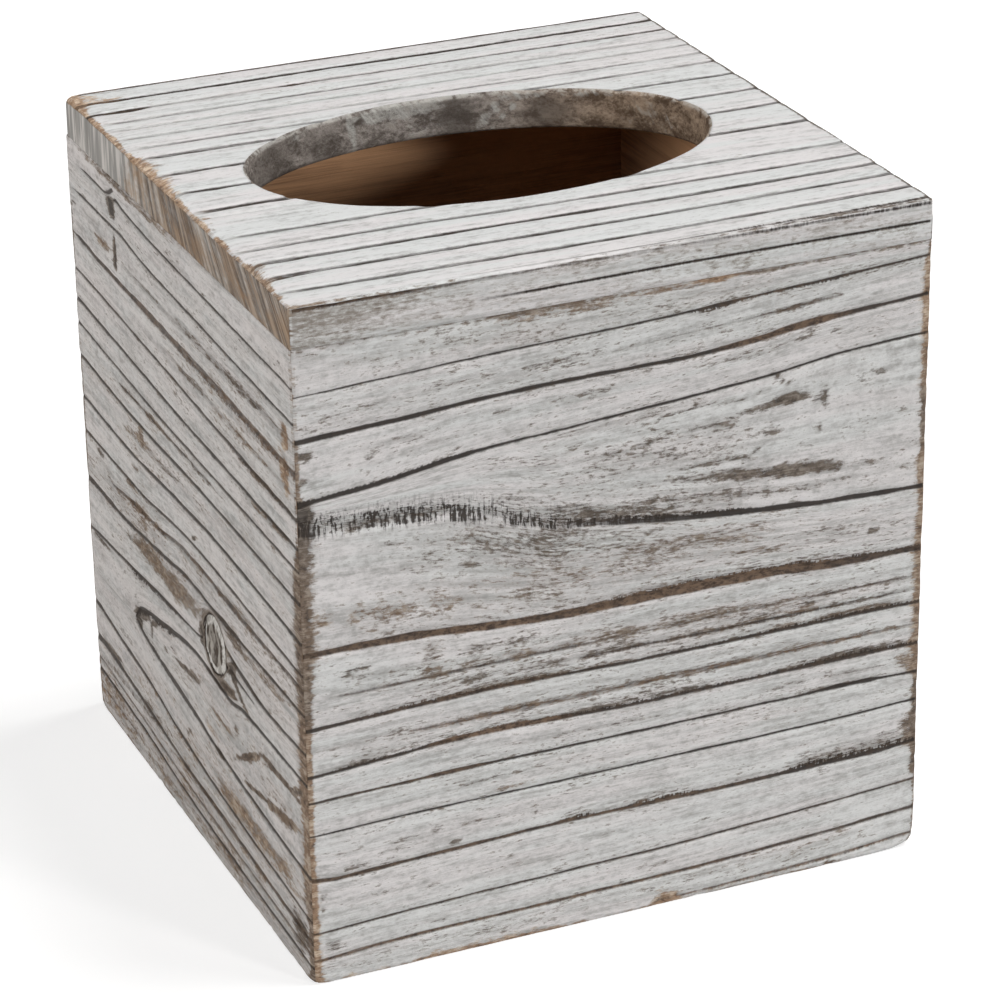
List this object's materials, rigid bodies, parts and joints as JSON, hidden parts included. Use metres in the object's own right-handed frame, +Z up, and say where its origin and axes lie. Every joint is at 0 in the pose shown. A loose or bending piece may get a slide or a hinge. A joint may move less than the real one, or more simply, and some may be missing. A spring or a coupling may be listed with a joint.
{
  "type": "tissue box cover",
  "caption": "Square rustic whitewashed wooden tissue box cover: mitred walls, a top board with an oval tissue opening, and a base panel that slides out to refill.",
  "frame": {"origin": "on the table, under the middle of the cover", "axes": "+X left to right along the front, +Y front to back, +Z up; the front is the -Y face"},
  "size_m": [0.14, 0.14, 0.15],
  "materials": {
    "whitewashed_wood": "thin white wash over scorched and wire-brushed softwood",
    "bare_plywood": "bare sanded plywood",
    "pin_steel": "bright drawn wire"
  },
  "bodies": {
    "cover": {"top_board": "whitewashed_wood", "front_wall": "whitewashed_wood", "back_wall": "whitewashed_wood", "left_wall": "whitewashed_wood", "right_wall": "whitewashed_wood", "top_pins": "pin_steel", "corner_pins": "pin_steel"},
    "base": {"base_panel": "bare_plywood"}
  },
  "joints": [
    {"name": "base_slide", "type": "slide", "parent": "cover", "child": "base", "axis": [0, 1, 0], "range_m": [0, 0.124]}
  ]
}
